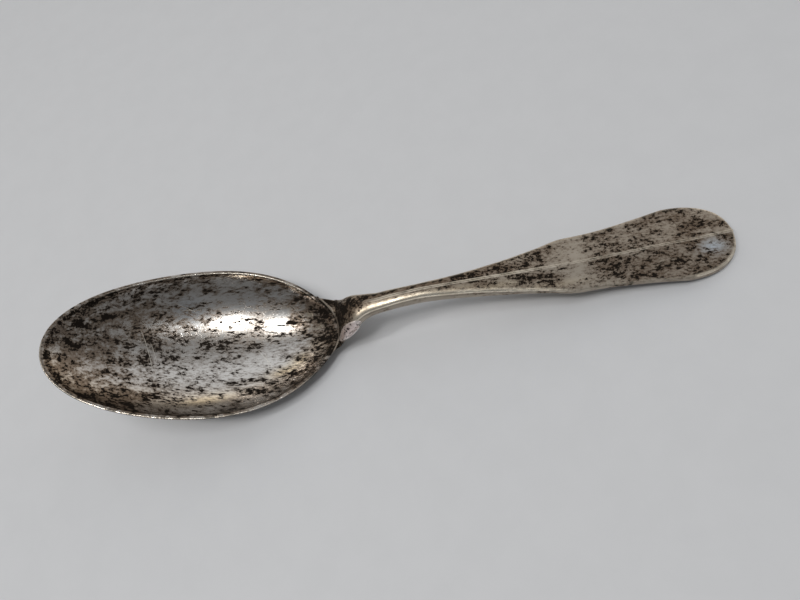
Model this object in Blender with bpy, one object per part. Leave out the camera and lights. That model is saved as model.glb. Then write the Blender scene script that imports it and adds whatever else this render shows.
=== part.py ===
"""Fiddle-pattern tablespoon in worn silver, lying as it rests on a table.

A raised bowl is soldered to a forged handle, whose front laps under the bowl's heel
as a rounded drop. A thin solder seam fills the joint, and an oval solder repair sits in
a filed pocket on one shoulder of the neck.

Metres, +Z up. The bowl's tip points to -X and the handle to +X. The spoon stands on
Z = 0 at two places, the bowl's back and the handle's end. The origin is the middle of
the bounding box's base. Lengths below are millimetres, with X counted from the tip and Y
from the middle of the handle.
"""
import math

import bmesh
import bpy
import numpy as np
from mathutils import Vector

MM = 0.001
LENGTH = 205.0
ORIGIN = (102.55, 3.06, 0.0)            # the middle of the bounding box's base

# Bowl: an egg-shaped rim, tilted so that the tip is high and the heel low. Long use has
# rolled the bowl a little towards -Y and swung its tip towards +Y.
BOWL_RUN = 85.5
BOWL_HALF_WIDTH = 24.1
EGG = (-0.07, 0.02, 0.15, -0.08)        # width factor: powers 1 to 4 of cos(angle)
TIP_HEIGHT = 33.7
HEEL_HEIGHT = 5.6
RIM_SAG = 3.5                           # how far the rim's sides dip between tip and heel
RIM_THICKNESS = 1.1
BOWL_ROLL = math.radians(5.8)
BOWL_SWING = math.radians(5.8)
BOWL_DEPTH = 11.0                       # square to the rim, inside
BOWL_WALL = 1.2
BOWL_MIDDLE = 0.53                      # the deepest point, as a share of the run
DEPTH_POWER = 2.2                       # how flat the bottom is
WALL_POWER = 1.3                        # how steep the wall is at the rim
RING_STEPS = 80
DEPTH_STEPS = 14

# Handle stations: (X, value). Heights are those of the two top edges. The neck's middle is
# NECK_SHIFT towards +Y near the bowl, where it also follows the bowl's roll up to ROLL_END.
EDGE_HEIGHT = (
    (85.5, 5.7), (87, 8.3), (89, 11.4), (92, 14.6), (95.5, 16.9), (100, 18.1), (106, 18.2),
    (113, 17.7), (127, 15.0), (143.5, 11.4), (164, 7.3), (184, 4.6), (192, 3.4), (199, 2.4),
    (205, 1.8),
)
HALF_WIDTH = (
    (79.5, 11.0), (82, 9.4), (84, 8.4), (86, 7.6), (88, 6.7), (90, 6.0), (92.5, 5.5),
    (95, 4.7), (98, 3.8), (102.5, 3.15), (113, 2.9), (123, 3.5), (137.5, 5.3), (150, 7.5),
    (158, 9.15), (165, 9.3), (176, 10.3), (188.5, 12.1),
)
NECK_SHIFT = (
    (72, 1.0), (80, 2.0), (82, 2.4), (84, 2.6), (86, 2.5), (88, 1.7), (90, 1.1),
    (92.5, 0.8), (95, 0.6), (98, 0.35), (102, 0),
)
THICKNESS = (
    (86, 4.0), (90, 4.9), (96, 5.0), (104, 4.6), (113, 5.0), (127, 4.8), (139, 3.8),
    (152, 2.4), (164, 1.8), (184, 1.9), (199, 2.4), (205, 1.8),
)
CROWN = ((86, 0.05), (90, 0.8), (94, 0.8), (99, 0.5), (107, 0.35), (150, 0.45), (205, 0.5))
LAND_HALF = ((86, 6.5), (90, 4.2), (94, 2.0), (99, 0.25), (205, 0.25))
ROLL_END = 97.0
SIDE_SHARE = ((79, 0.15), (88, 0.4), (96, 0.8), (113, 0.94), (205, 0.94))

# The drop: the handle's underside where it laps beneath the bowl.
DROP_UNDERSIDE = ((72, 0.9), (76, 0.6), (80, 1.0), (83, 2.2), (86, 4.0))
DROP_NOSE = 73.0
DROP_SHOULDER = 81.0
DROP_POWER = 1.6                        # under-curve of the flare: low in the middle

# The rounded end of the handle.
END_START = 188.5
END_POWER = 2.35
REST_FACET_START = 199.0                # from here the underside is flat on the table

# Solder: a film between bowl and drop, and an oval repair on the -Y shoulder.
CLEARANCE = 0.1
SEAM_INNER = 0.1
SEAM_OUTER = 0.4
SEAM_END = 90.0
PATCH_CENTRE = (91.2, -4.1, 13.1)
PATCH_ALONG = (0.74, 0.06, 0.67)        # up the neck
PATCH_OUT = (-0.6, -0.4, 0.69)        # square to the shoulder
PATCH_RADII = (5.2, 2.0, 1.0)
PATCH_POCKET = 0.12

SILVER = (0.55, 0.53, 0.50)
SILVER_WORN = (0.50, 0.47, 0.44)
SOLDER = (0.30, 0.27, 0.24)
SOLDER_PALE = (0.78, 0.70, 0.68)


def clear_scene():
    for item in list(bpy.data.objects):
        bpy.data.objects.remove(item, do_unlink=True)


def smooth(stations, x):
    """Monotone cubic through the stations, so nothing overshoots between them."""
    knots, values = np.array(stations, dtype=float).T
    gaps = np.diff(knots)
    slopes = np.diff(values) / gaps
    tangents = np.empty_like(values)
    tangents[0], tangents[-1] = slopes[0], slopes[-1]
    product = slopes[:-1] * slopes[1:]
    total = slopes[:-1] + slopes[1:]
    tangents[1:-1] = np.where(product > 0, 2 * product / np.where(total == 0, 1, total), 0)
    x = np.clip(np.asarray(x, dtype=float), knots[0], knots[-1])
    i = np.clip(np.searchsorted(knots, x) - 1, 0, len(gaps) - 1)
    t = (x - knots[i]) / gaps[i]
    return (
        values[i] * (1 + 2 * t) * (1 - t) ** 2
        + tangents[i] * gaps[i] * t * (1 - t) ** 2
        + values[i + 1] * (3 - 2 * t) * t ** 2
        - tangents[i + 1] * gaps[i] * (1 - t) * t ** 2
    )


def mesh_object(name, points, faces):
    """An object from points in millimetres, moved so that ORIGIN becomes (0, 0, 0)."""
    place = [(Vector(point) - Vector(ORIGIN)) * MM for point in points]
    mesh = bpy.data.meshes.new(name)
    mesh.from_pydata(place, [], faces)
    shape = bmesh.new()
    shape.from_mesh(mesh)
    bmesh.ops.recalc_face_normals(shape, faces=shape.faces)
    shape.to_mesh(mesh)
    shape.free()
    mesh.shade_smooth()
    mesh.set_sharp_from_angle(angle=math.radians(30))
    item = bpy.data.objects.new(name, mesh)
    bpy.context.collection.objects.link(item)
    return item


def rings_to_faces(count, rings, start=0):
    """Quads between rings of count points, one ring after another."""
    faces = []
    for ring in range(rings - 1):
        low = start + ring * count
        for i in range(count):
            j = (i + 1) % count
            faces.append((low + i, low + j, low + count + j, low + count + i))
    return faces


def rim_height(x):
    share = x / BOWL_RUN
    straight = TIP_HEIGHT + (HEEL_HEIGHT - TIP_HEIGHT) * share
    return straight - RIM_SAG * 4 * share * (1 - share)


def rim_outline(offset):
    """The rim's outer edge seen from above, moved outwards by offset."""
    angle = np.linspace(0, 2 * math.pi, RING_STEPS, endpoint=False)
    cos, sin = np.cos(angle), np.sin(angle)
    factor = 1 + sum(share * cos ** (power + 1) for power, share in enumerate(EGG))
    slope = -sin * sum((power + 1) * share * cos ** power for power, share in enumerate(EGG))
    x = BOWL_RUN * (1 - cos) / 2
    y = BOWL_HALF_WIDTH * sin * factor
    run_x = BOWL_RUN * sin / 2
    run_y = BOWL_HALF_WIDTH * (cos * factor + sin * slope)
    length = np.hypot(run_x, run_y)
    return x - offset * run_y / length, y + offset * run_x / length


def roll(points, angle):
    """Turned about the line through the middle of the heel, along X."""
    x, y, z = (points - (0, 0, HEEL_HEIGHT)).T
    turned = (x, y * np.cos(angle) - z * np.sin(angle), y * np.sin(angle) + z * np.cos(angle))
    return np.column_stack(turned) + (0, 0, HEEL_HEIGHT)


def settle(points):
    """The bowl's roll and swing, both about the middle of the heel."""
    x, y, z = (roll(points, BOWL_ROLL) - (BOWL_RUN, 0, 0)).T
    x, y = (
        x * math.cos(BOWL_SWING) + y * math.sin(BOWL_SWING),
        -x * math.sin(BOWL_SWING) + y * math.cos(BOWL_SWING),
    )
    return np.column_stack((x, y, z)) + (BOWL_RUN, 0, 0)


def follow_bowl(points):
    """The neck's share of the bowl's roll: all of it at the heel, none from ROLL_END on."""
    along = np.clip((points[:, 0] - BOWL_RUN) / (ROLL_END - BOWL_RUN), 0, 1)
    return roll(points, BOWL_ROLL * (1 - along * along * (3 - 2 * along)))


def bowl_surface(offset, depth):
    """Rings of points from the rim down to the deepest point, which comes last."""
    rim_x, rim_y = rim_outline(offset)
    middle = BOWL_MIDDLE * BOWL_RUN
    tilt = math.atan2(TIP_HEIGHT - HEEL_HEIGHT, BOWL_RUN)
    points = []
    for step in range(DEPTH_STEPS, -1, -1):
        share = math.sin(math.pi / 2 * step / DEPTH_STEPS)
        down = depth * (1 - share ** DEPTH_POWER) ** (1 / WALL_POWER)
        x = middle + share * (rim_x - middle)
        y = share * rim_y
        z = rim_height(x) - down * math.cos(tilt)
        ring = np.column_stack((x - down * math.sin(tilt), y, z))
        points.extend(settle(ring if step else ring[:1]))
    return points


def fan(ring_start, centre):
    return [
        (ring_start + i, ring_start + (i + 1) % RING_STEPS, centre)
        for i in range(RING_STEPS)
    ]


def make_bowl():
    outer = bowl_surface(0, BOWL_DEPTH + BOWL_WALL)
    inner = bowl_surface(-RIM_THICKNESS, BOWL_DEPTH)
    half = len(outer)
    last = (DEPTH_STEPS - 1) * RING_STEPS
    faces = rings_to_faces(RING_STEPS, DEPTH_STEPS)
    faces += fan(last, half - 1)
    faces += rings_to_faces(RING_STEPS, DEPTH_STEPS, half)
    faces += fan(half + last, 2 * half - 1)
    for i in range(RING_STEPS):
        j = (i + 1) % RING_STEPS
        faces.append((i, j, half + j, half + i))
    return mesh_object("bowl", outer + inner, faces)


def make_bowl_envelope(name, offset):
    """The bowl's outside, grown by offset and filled, with its sides carried upwards."""
    points = bowl_surface(offset, BOWL_DEPTH + BOWL_WALL + offset)
    deepest = len(points) - 1
    top = [(x, y, z + 14) for x, y, z in points[:RING_STEPS]]
    faces = rings_to_faces(RING_STEPS, DEPTH_STEPS)
    faces += fan((DEPTH_STEPS - 1) * RING_STEPS, deepest)
    above = deepest + 1
    for i in range(RING_STEPS):
        j = (i + 1) % RING_STEPS
        faces.append((i, j, above + j, above + i))
    faces.append(tuple(range(above, above + RING_STEPS)))
    return cutter(mesh_object(name, points + top, faces))


def section(x, half_width, under):
    """One cross-section of the handle, from the ridge round by +Y and back by -Y."""
    edge = float(smooth(EDGE_HEIGHT, x)) if x > BOWL_RUN else float(rim_height(x)) + 0.1
    crown = edge + float(smooth(CROWN, x))
    land = min(float(smooth(LAND_HALF, x)), 0.7 * half_width)
    side = float(smooth(SIDE_SHARE, x)) * (edge - under)
    power = DROP_POWER + min(max((x - DROP_SHOULDER) / 12, 0), 1) * 0.9
    half = [(land, crown), (half_width, edge), (half_width, edge - side)]
    for share in (0.9, 0.72, 0.48, 0.24):
        rise = (edge - side - under) * share ** power
        half.append((half_width * share, under + rise))
    shift = float(smooth(NECK_SHIFT, x))
    points = [(x, shift + y, z) for y, z in half]
    points.append((x, shift, under))
    points.extend((x, shift - y, z) for y, z in reversed(half))
    return points


def handle_stations():
    """X, half width and underside height of every cross-section, front to end."""
    stations = []
    nose = DROP_SHOULDER - DROP_NOSE
    for angle in np.radians((8, 20, 34, 50, 68)):
        x = DROP_SHOULDER - nose * math.cos(angle)
        stations.append((x, HALF_WIDTH[0][1] * math.sin(angle)))
    body = np.concatenate((
        np.linspace(DROP_SHOULDER, 98, 22),
        np.linspace(100, 150, 19),
        np.linspace(152, END_START, 15),
    ))
    stations.extend(zip(body, smooth(HALF_WIDTH, body)))
    end_run = LENGTH - END_START
    for angle in np.radians((14, 28, 41, 53, 63, 72, 79, 84, 88)):
        x = END_START + end_run * math.sin(angle) ** (2 / END_POWER)
        stations.append((x, HALF_WIDTH[-1][1] * math.cos(angle) ** (2 / END_POWER)))
    return stations


def underside(x):
    if x < DROP_UNDERSIDE[-1][0]:
        return float(smooth(DROP_UNDERSIDE, x))
    if x > REST_FACET_START:
        return 0.0
    free = float(smooth(EDGE_HEIGHT, x) - smooth(THICKNESS, x))
    return max(free, 0.0)


def make_handle_blank(name, end=LENGTH):
    rows = [section(x, w, underside(x)) for x, w in handle_stations() if x <= end + 1e-6]
    count = len(rows[0])
    points = follow_bowl(np.array([point for row in rows for point in row]))
    faces = rings_to_faces(count, len(rows))
    faces.append(tuple(range(count)))
    faces.append(tuple(range(len(points) - count, len(points))))
    return mesh_object(name, points, faces)


def make_lens(name, grow):
    """A flattened oval: the solder repair and, a little larger, its pocket."""
    mesh = bpy.data.meshes.new(name)
    shape = bmesh.new()
    bmesh.ops.create_uvsphere(shape, u_segments=24, v_segments=12, radius=1.0)
    out = Vector(PATCH_OUT).normalized()
    across = out.cross(Vector(PATCH_ALONG)).normalized()
    axes = (across.cross(out), across, out)
    centre = Vector(PATCH_CENTRE) - Vector(ORIGIN)
    for vertex in shape.verts:
        spread = (share * (radius + grow) for share, radius in zip(vertex.co, PATCH_RADII))
        vertex.co = (centre + sum((a * d for a, d in zip(axes, spread)), Vector())) * MM
    shape.to_mesh(mesh)
    shape.free()
    mesh.shade_smooth()
    item = bpy.data.objects.new(name, mesh)
    bpy.context.collection.objects.link(item)
    return item


def cutter(item):
    item.hide_render = True
    item.display_type = "WIRE"
    return item


def boolean(item, tool, operation):
    step = item.modifiers.new(tool.name, "BOOLEAN")
    step.operation = operation
    step.solver = "EXACT"
    step.object = tool


def finish(item, color, roughness):
    material = bpy.data.materials.new(item.name)
    material.use_nodes = True
    shader = material.node_tree.nodes["Principled BSDF"]
    shader.inputs["Base Color"].default_value = (*color, 1)
    shader.inputs["Metallic"].default_value = 1.0
    shader.inputs["Roughness"].default_value = roughness
    item.data.materials.clear()
    item.data.materials.append(material)


def build():
    clear_scene()
    bowl = make_bowl()
    finish(bowl, SILVER, 0.3)

    handle = make_handle_blank("handle")
    clearance = make_bowl_envelope("handle_clearance", SEAM_OUTER + CLEARANCE)
    boolean(handle, clearance, "DIFFERENCE")
    boolean(handle, cutter(make_lens("repair_pocket", PATCH_POCKET)), "DIFFERENCE")
    finish(handle, SILVER_WORN, 0.4)

    seam = make_handle_blank("solder_seam", SEAM_END)
    boolean(seam, make_bowl_envelope("seam_outside", SEAM_OUTER), "INTERSECT")
    boolean(seam, make_bowl_envelope("seam_inside", SEAM_INNER), "DIFFERENCE")
    finish(seam, SOLDER, 0.55)

    finish(make_lens("solder_repair", 0.0), SOLDER_PALE, 0.25)


build()
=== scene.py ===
"""The looks of a worn silver tablespoon: fine meshes and tarnished silver over the CAD frame.

Lengths are millimetres, with X counted from the bowl's tip and Y from the middle of the
handle. place() turns them into the frame's metres.
"""
import math

import bmesh
import bpy
import numpy as np
from mathutils import Matrix, Vector, noise
from mathutils.bvhtree import BVHTree


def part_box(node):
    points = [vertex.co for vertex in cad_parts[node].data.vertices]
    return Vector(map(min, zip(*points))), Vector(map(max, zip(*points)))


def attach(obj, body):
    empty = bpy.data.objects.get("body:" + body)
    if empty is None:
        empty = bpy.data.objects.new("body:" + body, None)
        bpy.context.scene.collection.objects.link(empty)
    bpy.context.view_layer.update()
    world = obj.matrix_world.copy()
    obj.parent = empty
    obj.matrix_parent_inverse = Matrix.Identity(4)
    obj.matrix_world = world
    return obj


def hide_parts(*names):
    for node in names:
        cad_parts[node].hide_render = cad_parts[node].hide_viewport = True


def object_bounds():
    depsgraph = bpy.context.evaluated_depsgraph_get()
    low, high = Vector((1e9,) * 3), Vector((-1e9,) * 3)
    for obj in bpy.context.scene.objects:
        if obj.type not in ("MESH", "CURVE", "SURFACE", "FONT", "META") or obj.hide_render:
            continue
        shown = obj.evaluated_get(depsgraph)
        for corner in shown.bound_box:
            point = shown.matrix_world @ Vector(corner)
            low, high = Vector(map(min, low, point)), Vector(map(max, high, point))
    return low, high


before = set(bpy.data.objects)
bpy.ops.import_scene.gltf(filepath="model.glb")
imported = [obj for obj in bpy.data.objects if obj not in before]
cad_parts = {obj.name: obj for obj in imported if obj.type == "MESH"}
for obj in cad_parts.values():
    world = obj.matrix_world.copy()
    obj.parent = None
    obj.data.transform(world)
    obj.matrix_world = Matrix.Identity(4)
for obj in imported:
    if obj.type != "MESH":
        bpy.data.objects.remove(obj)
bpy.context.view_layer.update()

MM = 0.001
LENGTH = 205.0

# Bowl
BOWL_RUN = 85.5
BOWL_HALF_WIDTH = 24.1
EGG = (-0.07, 0.02, 0.15, -0.08)        # width factor: powers 1 to 4 of cos(angle)
TIP_HEIGHT = 33.7
HEEL_HEIGHT = 5.6
RIM_SAG = 3.5
RIM_THICKNESS = 1.1
RIM_ROUNDING = 0.32
BOWL_ROLL = math.radians(5.8)
BOWL_SWING = math.radians(5.8)
BOWL_DEPTH = 11.0
BOWL_WALL = 1.2
BOWL_MIDDLE = 0.53
DEPTH_POWER = 2.2
WALL_POWER = 1.3
RING_STEPS = 360
DEPTH_STEPS = 64
ROUND_STEPS = 6
OUTER_CORNER = (0.3, 0.44)              # the inside mask over the rim: 0 outside, 1 inside
INNER_CORNER = (0.56, 0.7)
BOWL_WOBBLE = (9.0, 0.05)               # size of the unevenness, and its height

# Handle stations: (X, value). Heights are those of the two top edges.
EDGE_HEIGHT = (
    (85.5, 5.7), (87, 8.3), (89, 11.4), (92, 14.6), (95.5, 16.9), (100, 18.1), (106, 18.2),
    (113, 17.7), (127, 15.0), (143.5, 11.4), (164, 7.3), (184, 4.6), (192, 3.4), (199, 2.4),
    (205, 1.8),
)
HALF_WIDTH = (
    (79.5, 11.0), (82, 9.4), (84, 8.4), (86, 7.6), (88, 6.7), (90, 6.0), (92.5, 5.5),
    (95, 4.7), (98, 3.8), (102.5, 3.15), (113, 2.9), (123, 3.5), (137.5, 5.3), (150, 7.5),
    (158, 9.15), (165, 9.3), (176, 10.3), (188.5, 12.1),
)
NECK_SHIFT = (
    (72, 1.0), (80, 2.0), (82, 2.4), (84, 2.6), (86, 2.5), (88, 1.7), (90, 1.1),
    (92.5, 0.8), (95, 0.6), (98, 0.35), (102, 0),
)
THICKNESS = (
    (86, 4.0), (90, 4.9), (96, 5.0), (104, 4.6), (113, 5.0), (127, 4.8), (139, 3.8),
    (152, 2.4), (164, 1.8), (184, 1.9), (199, 2.4), (205, 1.8),
)
CROWN = ((86, 0.05), (90, 0.8), (94, 0.8), (99, 0.5), (107, 0.35), (150, 0.45), (205, 0.5))
LAND_HALF = ((86, 6.5), (90, 4.2), (94, 2.0), (99, 0.25), (205, 0.25))
SIDE_SHARE = ((79, 0.15), (88, 0.4), (96, 0.8), (113, 0.94), (205, 0.94))
DROP_UNDERSIDE = ((72, 0.9), (76, 0.6), (80, 1.0), (83, 2.2), (86, 4.0))
DROP_NOSE = 73.0
DROP_SHOULDER = 81.0
DROP_POWER = 1.6
END_START = 188.5
END_POWER = 2.35
REST_FACET_START = 199.0
EDGE_ROUNDING = ((80, 0.2), (90, 0.4), (100, 0.9), (140, 0.7), (165, 0.25), (205, 0.22))
ROUNDING_STRETCH = 2.4
SIDE_BULGE = 0.13                       # of the side's height
ROLL_END = 97.0                         # by here the neck has left the bowl's roll
LAND_SHARE = 0.7                        # the land's widest, as a share of the half width
RIDGE_WIDTH = 0.17                      # of the bright line along the land's edge
RIDGE_BAND = 0.5                        # width of the fine rows beside it
RIDGE_SHARE = 0.15
FAR_GAP = 9.0                           # stands for a long way from the edge
DROP_FADE = 12.0                        # the drop's roundness is gone this far past its shoulder
NECK_POWER = 0.9                        # how much flatter the neck's underside is
HANDLE_WOBBLE = (7.0, 0.04)
SEAM_OUTER = 0.42
ENVELOPE_RISE = 14.0

# Oval repair on the -Y shoulder
PATCH_CENTRE = (89.9, -3.95, 11.05)
PATCH_ALONG = (0.70, -0.06, 0.715)
PATCH_OUT = (-0.62, -0.42, 0.66)
PATCH_RADII = (7.2, 1.7)
PATCH_STEPS = (96, 24)                  # around, and inward
PATCH_REACH = 6.0                       # the shoulder is looked for from this far out
PATCH_MISS = -0.6                       # taken where there is no shoulder below
PATCH_LOWEST = -1.2
PATCH_TOP = 0.16
PATCH_LIP = 0.05
PATCH_SINK = 0.04
PATCH_DEPTH = 0.30

HANDLE_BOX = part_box("handle")
AXIS_Y = (HANDLE_BOX[0].y + HANDLE_BOX[1].y) / 2
END_X = HANDLE_BOX[1].x


def place(points):
    """Millimetres from the bowl's tip to metres in the frame."""
    return np.asarray(points) * MM + (END_X - LENGTH * MM, AXIS_Y, 0)


def smooth(stations, x):
    """Monotone cubic through the stations, so nothing overshoots between them."""
    knots, values = np.array(stations, dtype=float).T
    gaps = np.diff(knots)
    slopes = np.diff(values) / gaps
    tangents = np.empty_like(values)
    tangents[0], tangents[-1] = slopes[0], slopes[-1]
    product = slopes[:-1] * slopes[1:]
    total = slopes[:-1] + slopes[1:]
    tangents[1:-1] = np.where(product > 0, 2 * product / np.where(total == 0, 1, total), 0)
    x = np.clip(np.asarray(x, dtype=float), knots[0], knots[-1])
    i = np.clip(np.searchsorted(knots, x) - 1, 0, len(gaps) - 1)
    t = (x - knots[i]) / gaps[i]
    return (
        values[i] * (1 + 2 * t) * (1 - t) ** 2
        + tangents[i] * gaps[i] * t * (1 - t) ** 2
        + values[i + 1] * (3 - 2 * t) * t ** 2
        - tangents[i + 1] * gaps[i] * (1 - t) * t ** 2
    )


def ease(low, high, x):
    """0 up to low, 1 from high on, and smooth between them."""
    t = np.clip((np.asarray(x, dtype=float) - low) / (high - low), 0, 1)
    return t * t * (3 - 2 * t)


def peak(value, centre, width):
    """1 at the centre, falling away smoothly over the width on both sides."""
    return np.exp(-((value - centre) / width) ** 2)


def spots(points, places):
    """A sum of soft round spots: (x, y, radius along X, radius along Y, weight)."""
    total = np.zeros(len(points))
    for x, y, along, across, weight in places:
        away = ((points[:, 0] - x) / along) ** 2 + ((points[:, 1] - y) / across) ** 2
        total += weight * np.exp(-away)
    return total


# Meshes

def make_object(name, points, faces, masks):
    mesh = bpy.data.meshes.new(name)
    mesh.from_pydata(place(points).tolist(), [], faces)
    for key, values in masks.items():
        layer = mesh.attributes.new(key, "FLOAT", "POINT")
        layer.data.foreach_set("value", np.clip(values, 0, 1).astype(np.float32))
    shape = bmesh.new()
    shape.from_mesh(mesh)
    bmesh.ops.recalc_face_normals(shape, faces=shape.faces)
    shape.to_mesh(mesh)
    shape.free()
    mesh.shade_smooth()
    item = bpy.data.objects.new(name, mesh)
    bpy.context.scene.collection.objects.link(item)
    return item


def ring_faces(count, rings, start=0):
    faces = []
    for ring in range(rings - 1):
        low = start + ring * count
        for i in range(count):
            j = (i + 1) % count
            faces.append((low + i, low + j, low + count + j, low + count + i))
    return faces


def wobble(points, size, height):
    """A slow unevenness, as hammering and use leave it: one height for each point."""
    return np.array([noise.noise(Vector(point) / size) for point in points]) * height


# Bowl

def rim_height(x):
    share = x / BOWL_RUN
    straight = TIP_HEIGHT + (HEEL_HEIGHT - TIP_HEIGHT) * share
    return straight - RIM_SAG * 4 * share * (1 - share)


def rim_outline(offset):
    angle = np.linspace(0, 2 * math.pi, RING_STEPS, endpoint=False)
    cos, sin = np.cos(angle), np.sin(angle)
    factor = 1 + sum(share * cos ** (power + 1) for power, share in enumerate(EGG))
    slope = -sin * sum((power + 1) * share * cos ** power for power, share in enumerate(EGG))
    x = BOWL_RUN * (1 - cos) / 2
    y = BOWL_HALF_WIDTH * sin * factor
    run_x = BOWL_RUN * sin / 2
    run_y = BOWL_HALF_WIDTH * (cos * factor + sin * slope)
    length = np.hypot(run_x, run_y)
    return x - offset * run_y / length, y + offset * run_x / length


def roll(points, angle):
    """Turned about the line through the middle of the heel, along X."""
    x, y, z = (points - (0, 0, HEEL_HEIGHT)).T
    turned = (x, y * np.cos(angle) - z * np.sin(angle), y * np.sin(angle) + z * np.cos(angle))
    return np.column_stack(turned) + (0, 0, HEEL_HEIGHT)


def follow_bowl(points):
    """The neck's share of the bowl's roll: all of it at the heel, none from ROLL_END on."""
    return roll(points, BOWL_ROLL * (1 - ease(BOWL_RUN, ROLL_END, points[:, 0])))


def settle(points):
    """The bowl's roll and swing, both about the middle of the heel."""
    x, y, z = (roll(points, BOWL_ROLL) - (BOWL_RUN, 0, 0)).T
    x, y = (
        x * math.cos(BOWL_SWING) + y * math.sin(BOWL_SWING),
        -x * math.sin(BOWL_SWING) + y * math.cos(BOWL_SWING),
    )
    return np.column_stack((x, y, z)) + (BOWL_RUN, 0, 0)


def bowl_ring(offset, share, down):
    """One ring: the rim moved out by offset, drawn in to share of its size, and lowered."""
    rim_x, rim_y = rim_outline(offset)
    middle = BOWL_MIDDLE * BOWL_RUN
    tilt = math.atan2(TIP_HEIGHT - HEEL_HEIGHT, BOWL_RUN)
    x = middle + share * (rim_x - middle)
    z = rim_height(x) - down * math.cos(tilt)
    return settle(np.column_stack((x - down * math.sin(tilt), share * rim_y, z)))


def wall_rings(offset, depth, start):
    """Rings of a wall from start below the rim to the deepest point: (ring, share)."""
    widest = (1 - (start / depth) ** WALL_POWER) ** (1 / DEPTH_POWER)
    rings = []
    for step in range(DEPTH_STEPS, 0, -1):
        share = widest * math.sin(math.pi / 2 * step / DEPTH_STEPS)
        down = depth * (1 - share ** DEPTH_POWER) ** (1 / WALL_POWER)
        rings.append((bowl_ring(offset, share, down), share))
    return rings, bowl_ring(offset, 0, depth)[:1]


def make_bowl():
    outer, outer_end = wall_rings(0, BOWL_DEPTH + BOWL_WALL, RIM_ROUNDING)
    inner, inner_end = wall_rings(-RIM_THICKNESS, BOWL_DEPTH, RIM_ROUNDING)
    rounding = []
    for step in range(1, ROUND_STEPS + 1):
        angle = math.pi / 2 * step / ROUND_STEPS
        inward, down = RIM_ROUNDING * (1 - math.cos(angle)), RIM_ROUNDING * (1 - math.sin(angle))
        rounding.append((inward, down))
    rim = [bowl_ring(-inward, 1, down) for inward, down in rounding]
    rim += [bowl_ring(inward - RIM_THICKNESS, 1, down) for inward, down in reversed(rounding)]

    walls = list(reversed(outer)) + [(ring, 1.0) for ring in rim] + inner
    rings = [ring for ring, _ in walls]
    reach = [share for _, share in walls]
    corners = [np.linspace(*ends, ROUND_STEPS) for ends in (OUTER_CORNER, INNER_CORNER)]
    inside = np.concatenate((np.zeros(len(outer)), *corners, np.ones(len(inner))))
    points = np.vstack(rings + [outer_end, inner_end])
    reach = np.append(np.repeat(reach, RING_STEPS), (0, 0))
    inside = np.append(np.repeat(inside, RING_STEPS), (0, 1))

    faces = ring_faces(RING_STEPS, len(rings))
    last = (len(rings) - 1) * RING_STEPS
    low, high = len(points) - 2, len(points) - 1
    for i in range(RING_STEPS):
        j = (i + 1) % RING_STEPS
        faces.append((j, i, low))
        faces.append((last + i, last + j, high))

    points[:, 2] += wobble(points, *BOWL_WOBBLE) * (1 - inside * 0.3)
    return make_object("bowl_body", points, faces, bowl_masks(points, reach, inside))


# The masks' soft spots: (X, Y, radius along X, radius along Y, weight). Tarnish is how much
# of the silver black specks cover, and film is how brown it is between them.
BOWL_TARNISH_BASE = 0.585
BOWL_TARNISH = (
    (84, 2, 8, 12, 0.20),
    (72, -10, 9, 5, 0.08),
    (7.0, 8.3, 2.0, 1.2, 0.45),
    (8.9, 14.4, 1.6, 1.0, 0.42),
    (15.2, 17.2, 1.6, 0.9, 0.38),
    (13, 9.5, 5, 1.2, 0.07),
    (25, 8.5, 4, 1.4, 0.12),
    (11, 2, 9, 9, -0.05),
    (46, 6.0, 16, 2.5, 0.05),
    (44, -3.0, 16, 4.5, -0.10),
    (60, -3.0, 8, 4, -0.10),
    (49, -7.6, 6, 0.8, 0.10),
    (54, 20, 16, 5, -0.20),
    (38, 16, 10, 5, -0.06),
    # The next two clear the silver where the two lamp highlights fall: painted highlight.
    (50.5, 12.8, 6, 2.2, -0.12),
    (64.5, 9.5, 3.5, 4, -0.12),
    (14, -10.5, 9, 4, 0.17),
    (24, -9.0, 5, 1.1, 0.10),
    (62, -12, 12, 2.5, 0.06),
    # The next two clear the silver under the painted warm reflections on the near wall and by the
    # heel.
    (40, -13, 8, 2.0, -0.16),
    (67, -6.5, 5, 1.6, -0.08),
)
BOWL_FILM_BASE = 0.30
BOWL_FILM = (
    (4, 4, 14, 22, 0.45),
    (20, 18, 16, 8, 0.30),
    (14, -11, 12, 5, 0.65),
    # The next two clear the film under the painted warm reflections on the near wall and by the
    # heel.
    (40, -13, 8, 2.0, -0.40),
    (68, -6.0, 7, 2.2, -0.35),
    (54, 22, 20, 7, 0.20),
    (78, 6, 9, 14, 0.30),
    (72, -10, 12, 6, 0.25),
    (41, -3.5, 18, 5.0, -0.25),
    (62, -4.0, 10, 5, -0.25),
    # The last two clear the film where the two lamp highlights fall: painted highlight.
    (50.5, 12.8, 7, 2.6, -0.3),
    (64.5, 9.5, 4, 4, -0.3),
)
# Painted warm reflections: golden spots on the walls by the heel, and a cream band on the near
# wall.
BOWL_WARM_REFLECTION = (
    (65, -7.5, 5, 1.8, 0.9),
    (71, -4.5, 3.5, 2, 0.9),
    (77, -0.5, 2.4, 2, 0.7),
    (76.5, 9.3, 1.6, 1.6, 0.8),
    (79, 4, 2, 1.5, 0.5),
    (40, -13, 9, 2.2, 0.7),
    (50, 12, 5, 1.6, 0.3),
)
# Painted cool reflections: bluish light patches on the far wall and beside the second lamp's
# highlight.
BOWL_COOL_REFLECTION = ((37.4, 18.0, 5, 3.5, 0.7), (66, 9, 3, 4, 0.4), (56, 18, 14, 4, 0.3))


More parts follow.
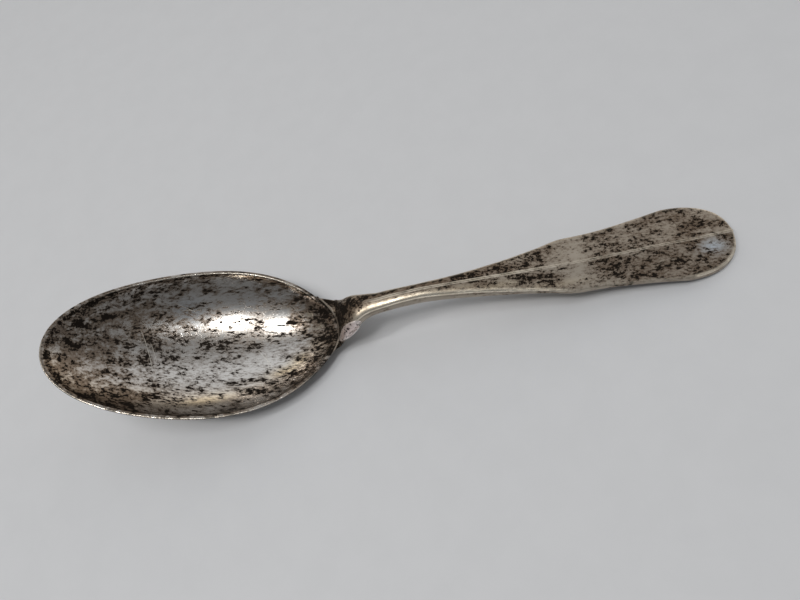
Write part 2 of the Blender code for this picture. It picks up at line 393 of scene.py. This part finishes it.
def bowl_masks(points, reach, inside):
    """Tarnish and film in the hollow, painted warm and cool reflections, and two painted highlight
    lines along the rim's corners.
    """
    x, y = points[:, 0], points[:, 1]
    hollow = inside > 0.9
    rim = (inside > 0.2) & (inside < 0.9)
    tip = 1 - ease(14, 34, x)
    heel = ease(70, 81, x)
    tarnish = BOWL_TARNISH_BASE + spots(points, BOWL_TARNISH)
    film = BOWL_FILM_BASE + spots(points, BOWL_FILM)
    wall = ease(0.94, 1.0, reach)
    tarnish = np.where(hollow, tarnish + wall * (0.02 + 0.22 * tip), 0.56)
    film = np.where(hollow, film + 0.25 * wall, 0.35)
    tarnish = np.where(rim, 0.50 + 0.10 * tip + 0.3 * heel, tarnish)
    film = np.where(rim, 0.70, film)
    # Painted highlights: a bright line on the rim's inner corner on the far side, and one on its
    # outer corner on the near side.
    inner_highlight = 0.8 * peak(inside, 0.61, 0.04) * (1 - 0.9 * tip) * (y > 0)
    outer_highlight = 0.6 * peak(inside, 0.40, 0.032) * (y < 8)
    return {
        "warm_reflection": hollow * spots(points, BOWL_WARM_REFLECTION),
        "cool_reflection": hollow * spots(points, BOWL_COOL_REFLECTION),
        "tarnish": tarnish,
        "film": film,
        "bright": rim * np.maximum(inner_highlight, outer_highlight) * (1 - heel),
    }


# Handle

def handle_rows():
    """X and half width of every cross-section, front to end."""
    nose = np.radians(np.linspace(5, 86, 14))
    front = DROP_SHOULDER - (DROP_SHOULDER - DROP_NOSE) * np.cos(nose)
    body = np.concatenate((
        np.linspace(DROP_SHOULDER, 102, 64, endpoint=False),
        np.linspace(102, END_START, 150),
    ))
    turn = np.radians(np.concatenate((np.linspace(3, 75, 26), np.linspace(77, 89.5, 14))))
    end = END_START + (LENGTH - END_START) * np.sin(turn) ** (2 / END_POWER)
    widths = (
        HALF_WIDTH[0][1] * np.sin(nose),
        smooth(HALF_WIDTH, body),
        HALF_WIDTH[-1][1] * np.cos(turn) ** (2 / END_POWER),
    )
    return np.concatenate((front, body, end)), np.concatenate(widths)


def underside(x):
    if x < DROP_UNDERSIDE[-1][0]:
        return float(smooth(DROP_UNDERSIDE, x))
    if x > REST_FACET_START:
        return 0.0
    return max(float(smooth(EDGE_HEIGHT, x) - smooth(THICKNESS, x)), 0.0)


def rounded(distance, radius):
    """How far a surface has dropped at this distance from its edge."""
    inside = np.clip(1 - distance / (radius * ROUNDING_STRETCH), 0, 1)
    return radius * (1 - np.sqrt(1 - inside ** 2))


def cross_section(x, half_width, slant):
    """A ring round the handle from +Y over the top to -Y and back below, with its masks."""
    edge = float(smooth(EDGE_HEIGHT, x)) if x > BOWL_RUN else float(rim_height(x)) + 0.1
    under = underside(x)
    crown = float(smooth(CROWN, x))
    land = min(float(smooth(LAND_HALF, x)), LAND_SHARE * half_width)
    side = float(smooth(SIDE_SHARE, x)) * (edge - under)
    radius = min(float(smooth(EDGE_ROUNDING, x)), 0.25 * half_width, 0.2 * (edge - under))
    inset = min(SIDE_BULGE * side, 0.25 * half_width)
    brow = half_width - inset

    on_land = np.linspace(0, 1, 5, endpoint=False) * land
    wide = brow - land
    band = min(RIDGE_BAND, RIDGE_SHARE * wide)
    beside = np.array((0, 0.25, 0.6)) * band
    on_facet = land + wide * np.sin(np.linspace(math.asin(RIDGE_SHARE), math.pi / 2, 24))
    on_facet[0] = land + band
    top = np.concatenate((on_land, land + beside, on_facet))
    top_z = edge + crown * (1 - np.clip((top - land) / (brow - land), 0, 1))
    top_z -= rounded((brow - top) * slant, radius)
    line = peak(top, land, RIDGE_WIDTH)

    t = np.linspace(0, 1, 12)[1:-1]
    flank = half_width - inset * (2 * t - 1) ** 2
    flank_z = (edge - radius) + (side - 2 * radius) * -t

    power = DROP_POWER + min(max((x - DROP_SHOULDER) / DROP_FADE, 0), 1) * NECK_POWER
    below = brow * np.sin(np.linspace(0, math.pi / 2, 18))
    below_z = under + (edge - side - under) * (below / half_width) ** power
    below_z += rounded((brow - below) * slant, radius)

    ys = np.concatenate((top[::-1], -top[1:], -flank, -below[::-1], below[1:], flank[::-1]))
    zs = np.concatenate(
        (top_z[::-1], top_z[1:], flank_z, below_z[::-1], below_z[1:], flank_z[::-1]))
    rest = np.zeros(len(flank) * 2 + len(below) * 2 - 1)
    ridge = np.concatenate((line[::-1], line[1:], rest))
    edge_gap = np.concatenate((brow - top[::-1], brow - top[1:], np.full(len(rest), FAR_GAP)))
    upper = np.concatenate((np.ones(len(top) * 2 - 1), rest))
    points = np.column_stack((np.full(len(ys), x), ys + float(smooth(NECK_SHIFT, x)), zs))
    return points, ridge, edge_gap * slant, upper


def make_handle():
    xs, widths = handle_rows()
    slants = 1 / np.hypot(1, np.gradient(widths, xs))
    rows = [cross_section(x, w, s) for x, w, s in zip(xs, widths, slants)]
    points = np.vstack([row[0] for row in rows])
    ridge, gap, upper = (np.concatenate([row[i] for row in rows]) for i in (1, 2, 3))
    count = len(rows[0][0])
    points = follow_bowl(points)
    points[:, 2] += wobble(points, *HANDLE_WOBBLE) * ease(90, 100, points[:, 0])
    faces = ring_faces(count, len(rows))
    faces.append(tuple(range(count)))
    faces.append(tuple(range(len(points) - count, len(points))))
    return make_object("handle_body", points, faces, handle_masks(points, ridge, gap, upper))


HANDLE_TARNISH_BASE = 0.555
HANDLE_TARNISH = (
    (85, 3, 6, 14, 0.24),
    (91, 1.5, 6, 3.4, 0.22),
    (106, 1.8, 18, 1.3, 0.25),
    (129, 1.5, 6, 2, 0.26),
    (145, 4, 8, 2.5, 0.15),
    (146, -2.5, 11, 2.6, 0.14),
    (159.5, 0, 5, 12, -0.26),
    (167, 4.5, 5, 3.5, 0.14),
    (171, -5, 8, 3.5, 0.13),
    (178, -1, 4, 2, 0.08),
    (183, 3.5, 5, 2.5, -0.12),
    (186, -7, 8, 3, 0.08),
    (194, 6, 6, 4, 0.10),
    # Clearer silver under the painted cool reflection near the end.
    (198, -3.6, 4, 2.5, -0.16),
    # Clearer silver along the stem's near top edge, under the painted highlight band.
    (112, -2.2, 20, 1.6, -0.30),
    (93, -4, 5, 1.6, -0.08),
)
HANDLE_FILM_BASE = 0.45
HANDLE_FILM = (
    (159.5, 0, 6, 12, -0.28),
    (108, 1.2, 24, 1.8, 0.60),
    (183, 3, 6, 2.5, -0.15),
    # Less film under the painted cool reflection near the end.
    (198, -3.6, 4, 2.5, -0.35),
    (190, 0, 16, 12, 0.12),
    # Less film along the stem's near top edge, under the painted highlight band.
    (112, -2.0, 18, 1.4, -0.12),
    (93, -4, 5, 1.6, -0.1),
)
# Painted warm reflection: a cream tint along the near top edge of the stem.
HANDLE_WARM_REFLECTION = ((112, -2.2, 20, 1.4, 0.7), (130, -3.4, 12, 1.2, 0.6), (148, -6, 10, 1.2, 0.5))
# Painted cool reflection: a bluish spot near the end of the handle.
HANDLE_COOL_REFLECTION = ((198, -3.6, 4.0, 2.4, 0.9),)


def handle_masks(points, ridge, gap, upper):
    """Tarnish, film and painted warm and cool reflections on top, bright worn edges, a ridge line
    of wear and painted highlight, and a painted highlight band along the near edge.
    """
    x, y = points[:, 0], points[:, 1]
    tarnish = HANDLE_TARNISH_BASE + spots(points, HANDLE_TARNISH)
    film = HANDLE_FILM_BASE + spots(points, HANDLE_FILM)
    edge_wear_and_highlight = peak(np.clip(gap, 0, FAR_GAP), 0, 0.5) * upper
    stem = ease(90, 98, x) * (1 - ease(140, 158, x))
    near = y < smooth(NECK_SHIFT, x)
    edge_wear_and_highlight *= 0.35 + 0.45 * stem + 0.45 * ease(190, 200, x)
    # Painted highlight: a cream band along the stem's near top edge, where the lamps catch the
    # rounding.
    edge_wear_and_highlight += 0.66 * near * upper * peak(gap, 0, 1.1 - 0.5 * ease(110, 145, x))
    edge_wear_and_highlight *= np.where(near, 1 - 0.7 * ease(150, 162, x) * (x < 190), 1)
    # The ridge line is partly wear and partly painted highlight.
    ridge_line = ridge * upper * (0.45 + 0.3 * stem) * ease(96, 104, x)
    flank = (1 - upper) * ease(88, 96, x)
    return {
        "warm_reflection": upper * spots(points, HANDLE_WARM_REFLECTION),
        "cool_reflection": upper * spots(points, HANDLE_COOL_REFLECTION),
        "tarnish": tarnish * (1 - 0.4 * flank),
        "film": film * (1 - 0.3 * flank),
        "bright": edge_wear_and_highlight * ease(88, 94, x) + ridge_line,
    }


def make_envelope():
    """The bowl's outside grown by the seam and carried upwards: it cuts the handle's lap."""
    rings, end = wall_rings(SEAM_OUTER, BOWL_DEPTH + BOWL_WALL + SEAM_OUTER, 0)
    points = np.vstack([rings[0][0] + (0, 0, ENVELOPE_RISE)] + [ring for ring, _ in rings] + [end])
    faces = ring_faces(RING_STEPS, DEPTH_STEPS + 1)
    faces.append(tuple(range(RING_STEPS)))
    last = DEPTH_STEPS * RING_STEPS
    for i in range(RING_STEPS):
        faces.append((last + i, last + (i + 1) % RING_STEPS, len(points) - 1))
    return make_object("envelope", points, faces, {})


def cut(item, tool):
    step = item.modifiers.new("lap", "BOOLEAN")
    step.operation = "DIFFERENCE"
    step.solver = "EXACT"
    step.object = tool
    bpy.context.view_layer.update()
    graph = bpy.context.evaluated_depsgraph_get()
    result = bpy.data.meshes.new_from_object(item.evaluated_get(graph))
    item.modifiers.clear()
    item.data = result
    bpy.data.objects.remove(tool)


# Repair

def make_repair(under):
    """A thin oval lying on the shoulder: filed nearly flat, with a soft raised edge."""
    tree = BVHTree.FromPolygons(
        [tuple(v.co) for v in under.data.vertices],
        [tuple(p.vertices) for p in under.data.polygons])
    out = Vector(PATCH_OUT).normalized()
    across = out.cross(Vector(PATCH_ALONG)).normalized()
    along = across.cross(out)
    around, inward = PATCH_STEPS
    angles = np.linspace(0, 2 * math.pi, around, endpoint=False)
    spokes = [(math.sin(math.pi / 2 * step / inward), angle)
              for step in range(inward, 0, -1) for angle in angles] + [(0.0, 0.0)]
    upper, lower = [], []
    for share, angle in spokes:
        spot = (Vector(PATCH_CENTRE) + along * (share * math.cos(angle) * PATCH_RADII[0])
                + across * (share * math.sin(angle) * PATCH_RADII[1]))
        start = Vector(place(spot + out * PATCH_REACH))
        hit = tree.ray_cast(start, -out, 0.02)[0]
        height = PATCH_REACH - (start - hit).length / MM if hit else PATCH_MISS
        height = max(height, PATCH_LOWEST)
        lip = PATCH_LIP * peak(share, 0.86, 0.08) * (0.5 + 0.5 * math.cos(angle))
        top = (PATCH_TOP + lip) * (1 - share ** 8) ** 0.5
        upper.append(spot + out * (height + top - PATCH_SINK))
        lower.append(spot + out * (height - PATCH_DEPTH))
    points = np.array([tuple(v) for v in upper + lower])
    edge = np.array([share for share, _ in spokes] * 2)
    rings = inward * around
    other = len(spokes)
    faces = ring_faces(around, inward) + ring_faces(around, inward, other)
    for i in range(around):
        j = (i + 1) % around
        faces.append((rings - around + i, rings - around + j, rings))
        faces.append((other + rings - around + j, other + rings - around + i, other + rings))
        faces.append((j, i, other + i, other + j))
    masks = {
        "tarnish": np.full(len(points), 0.50),
        "film": np.full(len(points), 0.25),
        "bright": ease(0.74, 0.88, edge) * 0.55,
    }
    return make_object("repair_body", points, faces, masks)


# Materials

class Graph:
    """Short ways to add nodes to a material's or the world's tree."""

    def __init__(self, owner):
        owner.use_nodes = True
        self.tree = owner.node_tree

    def add(self, kind, **settings):
        node = self.tree.nodes.new(kind)
        for key, value in settings.items():
            setattr(node, key, value)
        return node

    def feed(self, socket, value):
        if isinstance(value, bpy.types.NodeSocket):
            self.tree.links.new(value, socket)
        else:
            socket.default_value = value

    def math(self, operation, *values, clamp=False):
        node = self.add("ShaderNodeMath", operation=operation, use_clamp=clamp)
        for socket, value in zip(node.inputs, values):
            self.feed(socket, value)
        return node.outputs[0]

    def span(self, value, low, high, start=0.0, end=1.0):
        """Maps low..high to start..end with soft ends."""
        node = self.add("ShaderNodeMapRange", interpolation_type="SMOOTHSTEP")
        for socket, number in zip(node.inputs, (value, low, high, start, end)):
            self.feed(socket, number)
        return node.outputs[0]

    def noise(self, vector, scale, detail=4.0, roughness=0.6, distortion=0.0):
        node = self.add("ShaderNodeTexNoise")
        self.feed(node.inputs["Vector"], vector)
        for key, value in (("Scale", scale), ("Detail", detail), ("Roughness", roughness),
                           ("Distortion", distortion)):
            node.inputs[key].default_value = value
        return node.outputs[0]

    def stretch(self, vector, scale, turn=0.0):
        """Scaled, with the scale's own X axis turned by this much about Z."""
        node = self.add("ShaderNodeMapping", vector_type="TEXTURE")
        self.feed(node.inputs["Vector"], vector)
        node.inputs["Scale"].default_value = [1 / share for share in scale]
        node.inputs["Rotation"].default_value = (0, 0, turn)
        return node.outputs[0]

    def mix(self, factor, a, b):
        node = self.add("ShaderNodeMix", data_type="RGBA")
        self.feed(node.inputs["Factor"], factor)
        self.feed(node.inputs["A"], a)
        self.feed(node.inputs["B"], b)
        return node.outputs["Result"]

    def scratch(self, at, start, end, width=0.09):
        """A fine line between two spots (X, Y), fading at its ends; at is in millimetres."""
        first, last = (Vector(place((*spot, 0)) / MM) for spot in (start, end))
        run = last - first
        length = run.length
        run.normalize()
        across = Vector((-run.y, run.x, 0))
        runs = []
        for axis in (run, across):
            node = self.add("ShaderNodeVectorMath", operation="DOT_PRODUCT")
            self.feed(node.inputs[0], at)
            node.inputs[1].default_value = axis
            runs.append(self.math("SUBTRACT", node.outputs["Value"], axis.dot(first)))
        line = self.span(self.math("ABSOLUTE", runs[1]), width * 0.3, width, 1.0, 0.0)
        line = self.math("MULTIPLY", line, self.span(runs[0], 0, length * 0.3))
        return self.math("MULTIPLY", line, self.span(runs[0], length * 0.7, length, 1.0, 0.0))

    def mask(self, name):
        return self.add("ShaderNodeAttribute", attribute_name=name).outputs["Fac"]


WARM_REFLECTION_TINT = (0.95, 0.80, 0.56, 1)
COOL_REFLECTION_TINT = (0.70, 0.79, 0.88, 1)
SPECK_LIMIT = 0.66
TARNISH_GAIN = -0.24
SPECK_EDGE = 0.018
BUMP_STRENGTH = 0.30
BUMP_DEPTH = 0.06 * MM


def tarnished_silver(name, clean, filmed, black, wear_and_highlight_colour, streak, turn, grain, rough, scratches=()):
    """Silver under a brown film, with black specks, and bright worn edges and painted highlights
    in one pale colour.

    A streak below 1 draws the specks out along X, turned by so many degrees. More grain makes
    them finer. Rough is the clean silver's roughness. All the noise works in millimetres.
    """
    material = bpy.data.materials.new(name)
    g = Graph(material)
    place_mm = g.stretch(g.add("ShaderNodeTexCoord").outputs["Object"], (1000, 1000, 1000))
    drawn = g.stretch(place_mm, (streak, 1, 1), math.radians(turn))

    # Specks lie where three sizes of noise add up to more than a limit, which tarnish lowers.
    mid = g.noise(drawn, grain * 0.45, 4, 0.62, 0.3)
    fine = g.noise(drawn, grain * 1.5, 5, 0.66, 0.2)
    grit = g.noise(place_mm, 4.0, 3, 0.6)
    field = g.math("ADD", g.math("MULTIPLY", mid, 0.40), g.math("MULTIPLY", fine, 0.48))
    field = g.math("ADD", field, g.math("MULTIPLY", grit, 0.12))
    limit = g.math("MULTIPLY_ADD", g.mask("tarnish"), TARNISH_GAIN, SPECK_LIMIT)
    over = g.math("SUBTRACT", field, limit)
    specks = g.span(over, 0.000, SPECK_EDGE)
    stain = g.span(over, -0.10, 0.01)

    # The film comes in clouds and thickens round the specks.
    cloud = g.noise(drawn, 0.22, 4, 0.65)
    film = g.math("MULTIPLY", g.mask("film"), g.span(cloud, 0.3, 0.7, 0.5, 1.4))
    film = g.math("ADD", film, g.math("MULTIPLY", stain, 0.50), clamp=True)
    # Painted warm and cool reflections tint the clean silver.
    colour = g.mix(g.mask("warm_reflection"), (*clean, 1), WARM_REFLECTION_TINT)
    colour = g.mix(g.mask("cool_reflection"), colour, COOL_REFLECTION_TINT)
    colour = g.mix(film, colour, (*filmed, 1))
    colour = g.mix(specks, colour, (*black, 1))
    # The bright mask lays worn edges and painted highlights over the colour in one pale cream.
    patchy = g.span(g.noise(place_mm, 0.3, 3), 0.35, 0.6, 0.55, 1.0)
    bright = g.math("MULTIPLY", g.mask("bright"), patchy)
    colour = g.mix(bright, colour, (*wear_and_highlight_colour, 1))
    for start, end, strength in scratches:
        line = g.math("MULTIPLY", g.scratch(place_mm, start, end), strength)
        colour = g.mix(line, colour, (*wear_and_highlight_colour, 1))

    # Film and specks are duller, worn edges and painted highlights are smoother, and hairlines run
    # across.
    scratch = g.noise(g.stretch(place_mm, (6, 0.12, 1), math.radians(12)), 1.2, 2, 0.5)
    brushed = g.noise(g.stretch(place_mm, (0.15, 5, 5)), 1.5, 3, 0.6)
    rough = g.math("MULTIPLY_ADD", film, 0.14, rough)
    rough = g.math("MULTIPLY_ADD", specks, 0.28, rough)
    rough = g.math("MULTIPLY_ADD", brushed, 0.06, rough)
    rough = g.math("MULTIPLY_ADD", bright, -0.12, rough)

    # Specks are shallow pits, on top of slow dents and fine grit.
    relief = g.math("MULTIPLY_ADD", specks, -0.35, g.math("MULTIPLY", grit, 0.25))
    relief = g.math("ADD", relief, g.math("MULTIPLY", g.span(scratch, 0.62, 0.7), -0.25))
    relief = g.math("ADD", relief, g.math("MULTIPLY", g.noise(place_mm, 0.45, 2), 1.2))
    bump = g.add("ShaderNodeBump")
    bump.inputs["Strength"].default_value = BUMP_STRENGTH
    bump.inputs["Distance"].default_value = BUMP_DEPTH
    g.feed(bump.inputs["Height"], relief)

    shader = g.tree.nodes["Principled BSDF"]
    g.feed(shader.inputs["Base Color"], colour)
    shader.inputs["Metallic"].default_value = 1.0
    g.feed(shader.inputs["Roughness"], rough)
    g.feed(shader.inputs["Normal"], bump.outputs[0])
    return material


def dress(item, material):
    item.data.materials.clear()
    item.data.materials.append(material)


def enter(item, node):
    """Enters a new mesh in the frame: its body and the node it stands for."""
    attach(item, "root")
    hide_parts(node)


BLACK = (0.020, 0.016, 0.013)
BOWL_SCRATCHES = (                      # (X, Y) at both ends, and strength
    ((22.0, 15.0), (24.5, -2.0), 0.6),
    ((24.0, 10.0), (25.5, 2.0), 0.5),
    ((55.0, 4.0), (63.5, -8.4), 0.7),
    ((58.0, 3.0), (60.0, -8.0), 0.5),
    ((33.0, 21.0), (41.0, 16.5), 0.6),
    ((34.0, 18.5), (42.0, 18.0), 0.5),
    ((70.0, 14.0), (74.0, 8.0), 0.5),
    ((28.0, -4.0), (36.0, -7.0), 0.4),
)
BOWL_SILVER = tarnished_silver(
    "bowl_silver", clean=(0.80, 0.775, 0.74), filmed=(0.22, 0.173, 0.135), black=BLACK,
    wear_and_highlight_colour=(1.0, 0.95, 0.84), streak=0.36, turn=-10, grain=0.98, rough=0.135,
    scratches=BOWL_SCRATCHES)
HANDLE_SILVER = tarnished_silver(
    "handle_silver", clean=(0.485, 0.432, 0.362), filmed=(0.175, 0.132, 0.098),
    black=(0.024, 0.019, 0.015), wear_and_highlight_colour=(1.0, 0.91, 0.76), streak=0.58, turn=-3, grain=1.0,
    rough=0.30)
REPAIR_SOLDER = tarnished_silver(
    "repair_solder", clean=(0.97, 0.88, 0.86), filmed=(0.66, 0.53, 0.50), black=BLACK,
    wear_and_highlight_colour=(1.0, 0.97, 0.94), streak=0.6, turn=0, grain=1.1, rough=0.42)
SEAM_SOLDER = tarnished_silver(
    "seam_solder", clean=(0.28, 0.24, 0.20), filmed=(0.14, 0.11, 0.09), black=BLACK,
    wear_and_highlight_colour=(0.6, 0.55, 0.5), streak=0.6, turn=0, grain=0.7, rough=0.42)

bowl = make_bowl()
dress(bowl, BOWL_SILVER)
enter(bowl, "bowl")

handle = make_handle()
cut(handle, make_envelope())
dress(handle, HANDLE_SILVER)
enter(handle, "handle")

repair = make_repair(handle)
dress(repair, REPAIR_SOLDER)
enter(repair, "solder_repair")

dress(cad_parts["solder_seam"], SEAM_SOLDER)


# Floor, light and camera

FLOOR_HALF = 6.0                        # metres
FLOOR_GAP = 0.02 * MM
FLOOR_SHADES = ((0.560, 0.571, 0.590, 1), (0.572, 0.583, 0.602, 1))
LAMP_DISTANCE = 1.0
LAMPS = (                               # name, way there, width, height, watts, colour
    ("ceiling_lamp", (-0.135, -0.26, 0.96), 0.17, 0.17, 2.05, (1.0, 0.98, 0.95)),
    ("second_lamp", (-0.485, -0.12, 0.87), 0.09, 0.28, 1.45, (1.0, 0.97, 0.93)),
    ("small_lamp", (0.17, -0.28, 0.95), 0.16, 0.16, 0.16, (0.93, 0.97, 1.0)),
)
SOFT_LIGHT_WAY = (0.0, -0.04, 0.99)
SOFT_LIGHT_STRENGTH = 0.63
SOFT_LIGHT_ANGLE = 0.30
NEAR_LEVEL = 0.18                       # the room's brightness, and what is added where
FAR_GAIN = 0.33
CEILING_GAIN = 0.12
WALL_GAIN = 0.26
RIGHT_GAIN = 0.10
HORIZON_LEVEL = 0.36
COOL_WALL = (0.965, 0.98, 1.0, 1)
WARM_WALL = (1.0, 0.89, 0.74, 1)
CAMERA_PLACE = (138.1, -85.7, 174.6)
CAMERA_RIGHT = (0.952, -0.157, -0.262)
CAMERA_FORWARD = (-0.163, 0.465, -0.870)
CAMERA_LENS = 28.08


def make_floor():
    mesh = bpy.data.meshes.new("floor")
    half, level = FLOOR_HALF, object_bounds()[0].z - FLOOR_GAP
    corners = [(x * half, y * half, level) for x, y in ((-1, -1), (1, -1), (1, 1), (-1, 1))]
    mesh.from_pydata(corners, [], [(0, 1, 2, 3)])
    item = bpy.data.objects.new("floor", mesh)
    bpy.context.scene.collection.objects.link(item)
    material = bpy.data.materials.new("floor_paper")
    g = Graph(material)
    at = g.add("ShaderNodeTexCoord").outputs["Object"]
    shade = g.span(g.noise(at, 90.0, 5, 0.6), 0.3, 0.7)
    shader = g.tree.nodes["Principled BSDF"]
    g.feed(shader.inputs["Base Color"], g.mix(shade, *FLOOR_SHADES))
    shader.inputs["Roughness"].default_value = 0.75
    item.data.materials.append(material)


def make_lamp(name, towards, width, height, power, colour):
    data = bpy.data.lights.new(name, "AREA")
    data.shape = "ELLIPSE"
    data.size, data.size_y = width, height
    data.energy = power
    data.color = colour
    lamp = bpy.data.objects.new(name, data)
    bpy.context.scene.collection.objects.link(lamp)
    direction = Vector(towards).normalized()
    lamp.location = direction * LAMP_DISTANCE
    lamp.rotation_euler = direction.to_track_quat("Z", "Y").to_euler()


def make_soft_light():
    """Even light from above for the floor alone: the metal has lamps of its own."""
    data = bpy.data.lights.new("soft_light", "SUN")
    data.energy = SOFT_LIGHT_STRENGTH
    data.angle = SOFT_LIGHT_ANGLE
    lamp = bpy.data.objects.new("soft_light", data)
    bpy.context.scene.collection.objects.link(lamp)
    lamp.rotation_euler = Vector(SOFT_LIGHT_WAY).to_track_quat("Z", "Y").to_euler()
    lamp.visible_glossy = False


def make_world():
    """A room: bright above and on the far side, dark on the near side, pale at the horizon."""
    world = bpy.data.worlds.new("room")
    bpy.context.scene.world = world
    g = Graph(world)
    way = g.add("ShaderNodeTexCoord").outputs["Generated"]
    parts = g.add("ShaderNodeSeparateXYZ")
    g.feed(parts.inputs[0], way)
    x, y, z = parts.outputs
    far = g.span(y, -0.10, 0.55)
    high = g.span(z, 0.15, 0.75)
    right = g.span(x, 0.1, 0.9)
    level = g.math("MULTIPLY_ADD", far, FAR_GAIN, NEAR_LEVEL)
    level = g.math("MULTIPLY_ADD", g.math("MULTIPLY", far, high), CEILING_GAIN, level)
    wall = g.math("MULTIPLY", g.span(z, 0.18, 0.36), g.span(z, 0.44, 0.62, 1.0, 0.0))
    level = g.math("MULTIPLY_ADD", g.math("MULTIPLY", far, wall), WALL_GAIN, level)
    level = g.math("MULTIPLY_ADD", right, RIGHT_GAIN, level)
    level = g.math("MAXIMUM", level, g.span(z, 0.02, 0.16, HORIZON_LEVEL, 0.0))
    warmth = g.math("MULTIPLY", far, g.math("SUBTRACT", 1.0, high))
    back = g.tree.nodes["Background"]
    g.feed(back.inputs["Color"], g.mix(warmth, COOL_WALL, WARM_WALL))
    g.feed(back.inputs["Strength"], level)


def make_camera():
    data = bpy.data.cameras.new("camera")
    data.sensor_width = 36
    data.lens = CAMERA_LENS
    camera = bpy.data.objects.new("camera", data)
    bpy.context.scene.collection.objects.link(camera)
    spot = Vector(place(CAMERA_PLACE))
    right = Vector(CAMERA_RIGHT).normalized()
    forward = Vector(CAMERA_FORWARD).normalized()
    up = right.cross(forward).normalized()
    right = forward.cross(up)
    turn = Matrix((right, up, -forward)).transposed()
    camera.matrix_world = Matrix.Translation(spot) @ turn.to_4x4()
    data.clip_start = 0.01
    bpy.context.scene.camera = camera


make_floor()
for row in LAMPS:
    make_lamp(*row)
make_soft_light()
make_world()
make_camera()
bpy.context.scene.view_settings.view_transform = "Standard"
